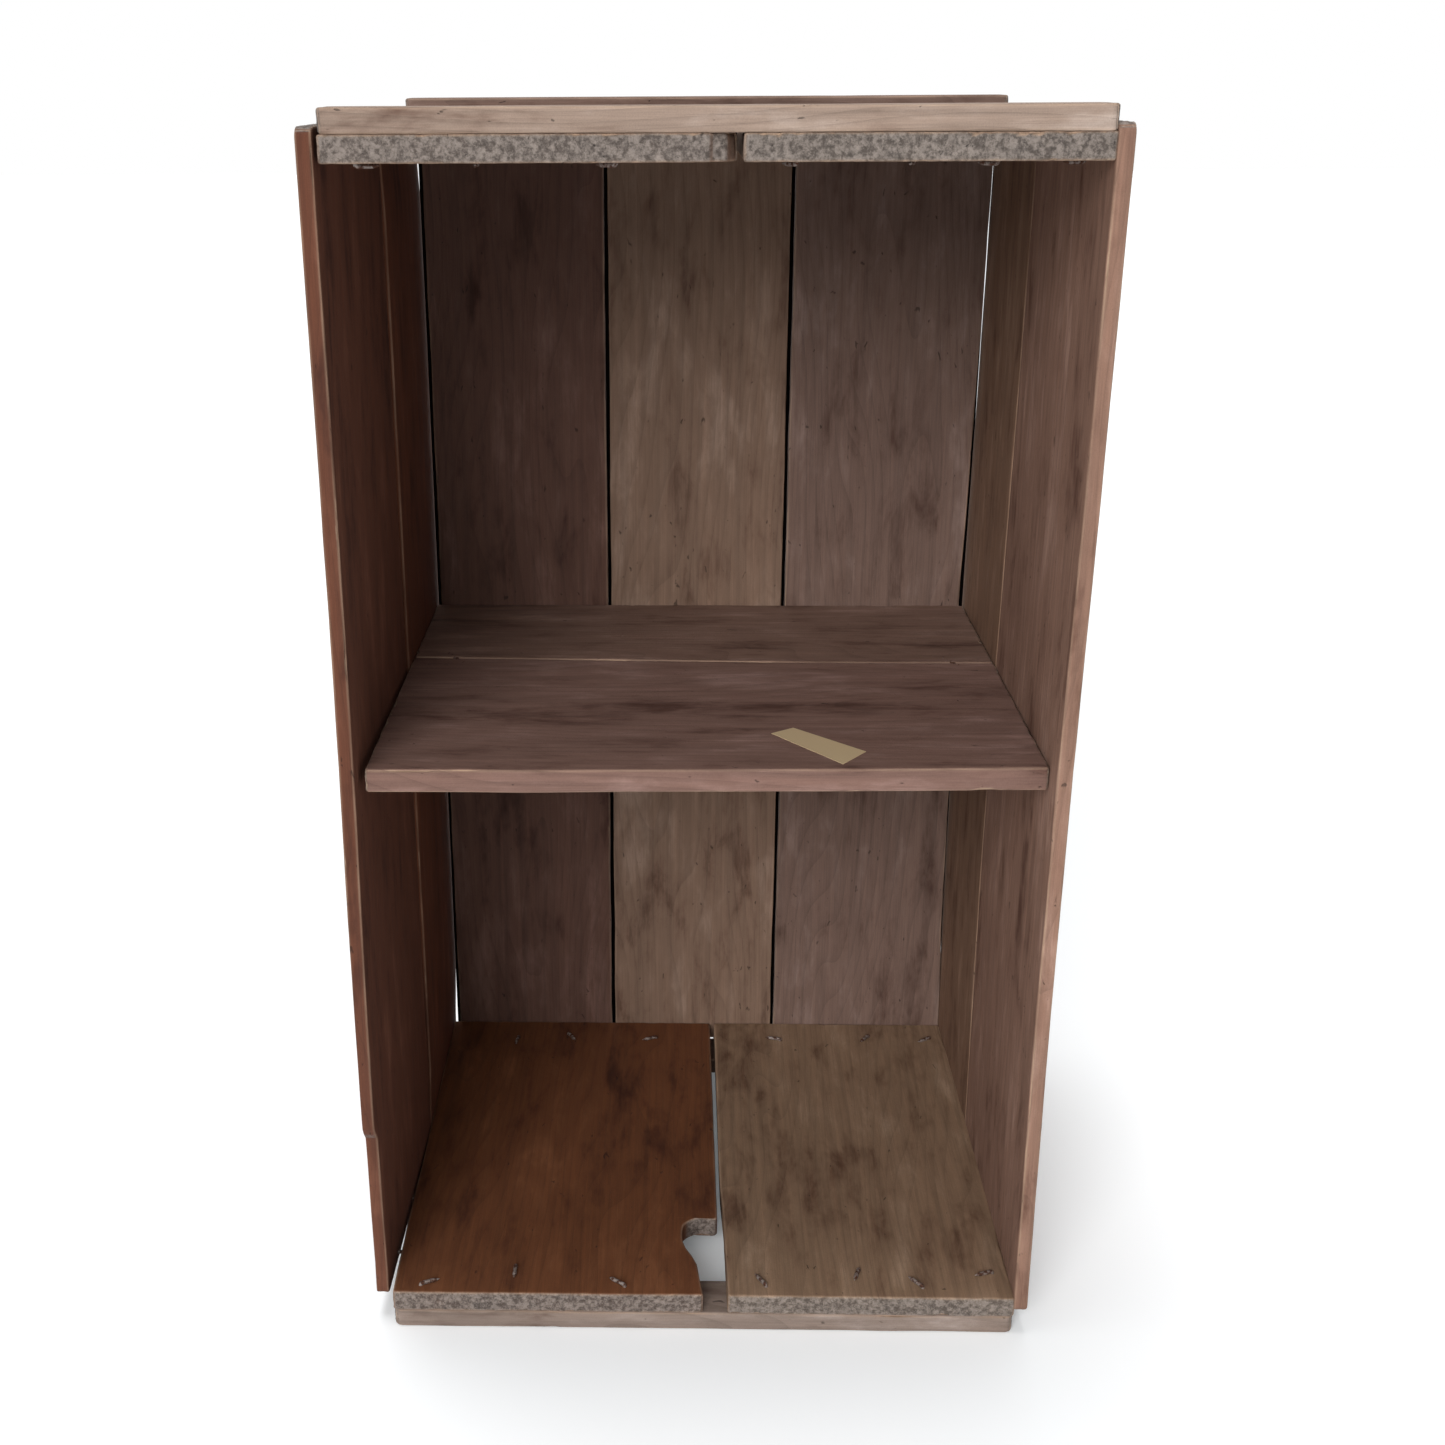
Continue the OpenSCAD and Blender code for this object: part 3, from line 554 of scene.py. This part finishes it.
SIDE = dict(slot="side_boards", ease=1.5, corner=5.0, coarse=(2.2, 3.4), chips=2.0)
BACK = dict(slot="back_boards", ease=0.9, corner=1.2, coarse=(2.4, 4.2), chips=1.1, rough=0.2)
END = dict(slot="end_boards", ease=1.3, corner=1.5, coarse=(2.2, 3.2), chips=1.8, thick_cells=9)
SHELF = dict(slot="shelf_boards", ease=1.5, corner=1.2, coarse=(2.2, 3.6), chips=2.6, thick_cells=9)
CLEAT = dict(slot="cleats", ease=1.5, corner=5.0, coarse=(1.6, 2.2), chips=1.6, thick_cells=8, rough=0.28)


def left_front_bend(base, size):
    """The left front board's cup: its front edge leans in at the top and out at the bottom."""
    at_front = smooth(1 - base[:, 0] / size[0])
    out = np.interp(base[:, 1], [0, 110, 185, 310, 420, 646], [0.9, 1.2, 1.0, -0.5, -1.0, -0.6])
    return np.stack([0 * out, 0 * out, at_front * out], 1)


def left_rear_bend(base, size):
    """The left rear board bows into the case between its ends."""
    inward = -1.7 * smooth(base[:, 1] / 60) * smooth((size[1] - base[:, 1]) / 60)
    return np.stack([0 * inward, 0 * inward, inward], 1)


def right_bend(base, size):
    """The right boards bow into the case, most a little below the shelf."""
    inward = -np.interp(base[:, 1], [0, 90, 195, 330, 475, 560, 646], [0.4, 1.5, 2.4, 2.4, 1.2, 0.9, 0.6])
    return np.stack([0 * inward, 0 * inward, inward], 1)


def make_side_boards():
    lean = math.radians(0.9)
    # The left boards' middle tones are darker than the right boards' for two reasons: their wood is a deeper orange,
    # and they carry painted shade, the shade that falls on the inside of the left side.
    boards = [
        ("side_left_front", "left_side_front_board", "+y+z-x", 101, lean, left_front_bend,
         [(0, False, [(0, 9, 0), (20, 9.5, 0), (60, 8, 0), (100, 7.5, 0), (109, 7, 0), (114, 3, 0), (119, 0.4, 0),
                      (126, 0, 0)], 45)], (92, 54, 38)),
        ("side_left_rear", "left_side_rear_board", "+y+z-x", 102, 0.0, left_rear_bend, [], (92, 50, 30)),
        ("side_right_front", "right_side_front_board", "+y+z+x", 103, 0.0, right_bend, [], (136, 104, 88)),
        ("side_right_rear", "right_side_rear_board", "+y+z+x", 104, 0.0, right_bend, [], (128, 98, 78)),
    ]
    for name, node, axes, seed, lean, bend, edges, mid in boards:
        piece = worn_board(name, node, axes, seed=seed, lean=lean, bend=bend, edges=edges,
                           spots=((), (115,) if edges else ()), **SIDE)
        dress(piece, old_wood(name + "_wood", "yzx", (seed * 0.37, 0.0, 0.0), **tones(mid)))


def make_back_boards():
    right_edge = [(0, 2.0, 0), (90, -0.8, 0), (175, -1.7, 0), (341, -3.3, 0), (473, -0.9, 0), (645, 0.6, 0)]
    # The left back board's middle tone is darker than the other two for two reasons: its own tone, and painted shade,
    # the shade of the left side and the top over the left of the back.
    boards = [
        ("back_left", "back_left_board", 201, [(0, False, [(0, 1.2, 0), (645, 1.8, 0)], 30)], (92, 66, 56)),
        ("back_middle", "back_middle_board", 202, [], (124, 100, 84)),
        ("back_right", "back_right_board", 203, [(0, True, right_edge, 60)], (112, 90, 80)),
    ]
    for name, node, seed, edges, mid in boards:
        piece = worn_board(name, node, "+x+z+y", seed=seed, edges=edges, **BACK)
        dress(piece, old_wood(name + "_wood", "xzy", (seed * 0.37, 0.0, 0.0), **tones(mid)))


def make_end_boards():
    knot = [(0, 179.5, 0.5), (13, 178, 13), (28, 176.5, 28), (36, 173.5, 36), (42, 170, 43), (47, 168, 50),
            (52, 167.7, 57), (57, 168.2, 64), (61, 170.3, 67.5), (64, 172.9, 69.8), (67, 175.7, 71.5),
            (70, 178.5, 72.3), (74, 183, 71.8), (78, 187.5, 71), (81, 189.2, 72.5), (100, 189.2, 100)]
    wide = (box_mm("bottom_end_left_board")[1] - box_mm("bottom_end_left_board")[0])[0]
    knot_rows = [(place, s - wide, l - place) for place, s, l in knot]
    broken = [(0, 0, 0), (176, 0, 0), (178, 3.0, 0), (184, 4.5, 0), (186.5, 9, 0), (189.2, 13, 0)]
    # The bottom left board's middle tone is darker than the right one's for two reasons: its wood is a deeper orange,
    # and it carries painted shade, the shadow of the left side over the left of the bottom.
    boards = [
        ("bottom_left", "bottom_end_left_board", "+x+y-z", 301, [(0, True, knot_rows, 60)],
         ((135,), (40, 68, 75)), (104, 62, 36)),
        ("bottom_right", "bottom_end_right_board", "+x+y-z", 302, [(0, False, [(0, 2, 0), (60, 1.4, 0), (100, 0, 0)],
         30)], ((), ()), (134, 108, 86)),
        ("top_left", "top_end_left_board", "+x+y+z", 303, [(1, False, broken, 30)], ((178, 186), ()), (104, 80, 66)),
        ("top_right", "top_end_right_board", "+x+y+z", 304, [], ((), ()), (110, 90, 76)),
    ]
    for name, node, axes, seed, edges, spots, mid in boards:
        piece = worn_board(name, node, axes, seed=seed, edges=edges, spots=spots, **END)
        dress(piece, old_wood(name + "_wood", "xyz", (seed * 0.37, 0.0, 0.0), **tones(mid)))


def make_cleats():
    for name, node, seed, mid in (("cleat_bottom_front", "bottom_front_cleat", 401, (132, 116, 106)),
                                  ("cleat_bottom_rear", "bottom_rear_cleat", 402, (112, 92, 80)),
                                  ("cleat_top_front", "top_front_cleat", 403, (150, 130, 116)),
                                  ("cleat_top_rear", "top_rear_cleat", 404, (116, 94, 84))):
        piece = worn_board(name, node, "+y+x+z", seed=seed, **CLEAT)
        dress(piece, old_wood(name + "_wood", "yxz", (seed * 0.37, 0.0, 0.0), **tones(mid)))


def make_shelf_boards():
    front = [(0, 0, 0), (102, 1.2, 0), (174, 2.7, 0), (256, 4.2, 0), (357, 7.8, 0)]
    seam = [(0, 0, 0), (91, -3.4, 0), (195, -6.8, 0), (273, -8.4, 0), (357, -8.2, 0)]
    trim = [(0, 1.1, 0), (184, 1.1, 0)]
    far_trim = [(0, -2.4, 0), (184, -2.4, 0)]
    boards = [
        ("shelf_front", "shelf_front_board", 501,
         [(0, False, front, 90), (0, True, seam, 90), (1, False, trim, 20), (1, True, far_trim, 20)], (120, 92, 82)),
        ("shelf_rear", "shelf_rear_board", 502,
         [(0, False, [(a, b + 8, c) for a, b, c in seam], 60), (1, False, trim, 20), (1, True, far_trim, 20)],
         (116, 90, 78)),
    ]
    for name, node, seed, edges, mid in boards:
        piece = worn_board(name, node, "+y+x-z", seed=seed, edges=edges, **SHELF)
        dress(piece, old_wood(name + "_wood", "yxz", (seed * 0.37, 0.0, 0.0), **tones(mid)))


def make_steel():
    nails = rusty_steel("nail_rust", 0.6)
    fasteners = rusty_steel("fastener_rust", 0.4)
    for node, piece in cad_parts.items():
        if node.endswith("_nails"):
            dress(piece, nails)
        elif node.endswith("_fastener"):
            dress(piece, fasteners)


def placed(place, right, up, back):
    """The matrix of a lamp or camera at a place, from its own three axes."""
    matrix = Matrix.Identity(4)
    for row in range(3):
        matrix[row][0], matrix[row][1], matrix[row][2], matrix[row][3] = right[row], up[row], back[row], place[row]
    return matrix


def looking(place, back, upward):
    """The matrix of a lamp at a place that shines away from the back direction."""
    back = back / np.linalg.norm(back)
    right = np.cross(upward, back)
    right /= np.linalg.norm(right)
    return placed(place, right, np.cross(back, right), back)


def make_stage():
    scene = bpy.context.scene
    scene.view_settings.view_transform = "Standard"
    world = bpy.data.worlds.new("white_room")
    scene.world = world
    world.use_nodes = True
    tree = world.node_tree
    tree.nodes.clear()
    path = tree.nodes.new("ShaderNodeLightPath")
    seen = tree.nodes.new("ShaderNodeMath")
    seen.operation = "MAXIMUM"
    tree.links.new(path.outputs["Is Camera Ray"], seen.inputs[0])
    tree.links.new(path.outputs["Is Glossy Ray"], seen.inputs[1])
    strength = tree.nodes.new("ShaderNodeMapRange")
    tree.links.new(seen.outputs[0], strength.inputs["Value"])
    strength.inputs["To Min"].default_value = 0.36
    strength.inputs["To Max"].default_value = 1.0
    back = tree.nodes.new("ShaderNodeBackground")
    back.inputs["Color"].default_value = (1, 1, 1, 1)
    tree.links.new(strength.outputs[0], back.inputs["Strength"])
    out = tree.nodes.new("ShaderNodeOutputWorld")
    tree.links.new(back.outputs[0], out.inputs["Surface"])

    for name, way, spread_angle, strength in (("key", (-0.28, -0.85, 0.44), 36, 2.35), ("top", (-0.1, 0.1, 1.0), 24, 1.5)):
        lamp = bpy.data.lights.new(name, "SUN")
        lamp.angle = math.radians(spread_angle)
        lamp.energy = strength
        holder = bpy.data.objects.new(name, lamp)
        scene.collection.objects.link(holder)
        holder.matrix_world = looking(np.array(way, float) * 3, np.array(way, float), np.array([0.0, 1.0, 0.3]))

    floor = bpy.data.meshes.new("floor")
    wide = 12.0
    floor.from_pydata([(-wide, -wide, 0), (wide, -wide, 0), (wide, wide, 0), (-wide, wide, 0)], [], [(0, 1, 2, 3)])
    ground = bpy.data.objects.new("floor", floor)
    scene.collection.objects.link(ground)
    p = Paint("pale_floor")
    path = p.node("ShaderNodeLightPath")
    matt = p.node("ShaderNodeBsdfDiffuse", {"Color": (0.93, 0.94, 0.95, 1)})
    glow = p.node("ShaderNodeEmission", {"Color": (0.9, 0.97, 1.0, 1),
                                         "Strength": p.math("MULTIPLY", path.outputs["Is Camera Ray"], 0.12)})
    both = p.node("ShaderNodeAddShader", {0: matt.outputs[0], 1: glow.outputs[0]})
    out = p.node("ShaderNodeOutputMaterial", {"Surface": both.outputs[0]})
    dress(ground, p.material)

    # Painted shade: a near-black card just behind the back boards stands for the shade that shows through the gaps
    # between them. Only camera rays from the front see it.
    card = bpy.data.meshes.new("painted_shade_card")
    low, high, depth = (-0.1765, 0.014), (0.1795, 0.655), CASE_HIGH[1] * MM + 0.0015
    card.from_pydata([(low[0], depth, low[1]), (high[0], depth, low[1]), (high[0], depth, high[1]),
                      (low[0], depth, high[1])], [], [(0, 1, 2, 3)])
    sheet = bpy.data.objects.new("painted_shade_card", card)
    scene.collection.objects.link(sheet)
    p = Paint("gap_painted_shade")
    from_behind = p.node("ShaderNodeNewGeometry").outputs["Backfacing"]
    black = p.node("ShaderNodeBsdfDiffuse", {"Color": (0.004, 0.003, 0.003, 1)})
    clear = p.node("ShaderNodeBsdfTransparent")
    shown = p.node("ShaderNodeMixShader", {0: from_behind, 1: black.outputs[0], 2: clear.outputs[0]})
    p.node("ShaderNodeOutputMaterial", {"Surface": shown.outputs[0]})
    dress(sheet, p.material)
    sheet.visible_shadow = False
    sheet.visible_diffuse = False
    sheet.visible_glossy = False

    camera = bpy.data.cameras.new("photo_camera")
    camera.sensor_width = 36.0
    camera.lens = 36.0 * 1724.438 / 1445
    camera.shift_x = (722.5 - 628.842) / 1445
    holder = bpy.data.objects.new("photo_camera", camera)
    scene.collection.objects.link(holder)
    pitch, yaw, roll = -0.361, 0.027, -0.006
    right = np.array([math.cos(yaw), math.sin(yaw), 0])
    ahead = np.array([-math.sin(yaw) * math.cos(pitch), math.cos(yaw) * math.cos(pitch), math.sin(pitch)])
    up = np.array([math.sin(yaw) * math.sin(pitch), -math.cos(yaw) * math.sin(pitch), math.cos(pitch)])
    right, up = (math.cos(roll) * right + math.sin(roll) * up, -math.sin(roll) * right + math.cos(roll) * up)
    place = np.array([-16.987, -967.506, 682.616]) * MM
    holder.matrix_world = placed(place, right, up, -ahead)
    scene.camera = holder


def main():
    make_stage()
    make_end_boards()
    make_cleats()
    make_side_boards()
    make_back_boards()
    make_shelf_boards()
    make_steel()


if __name__ == "__main__":
    main()
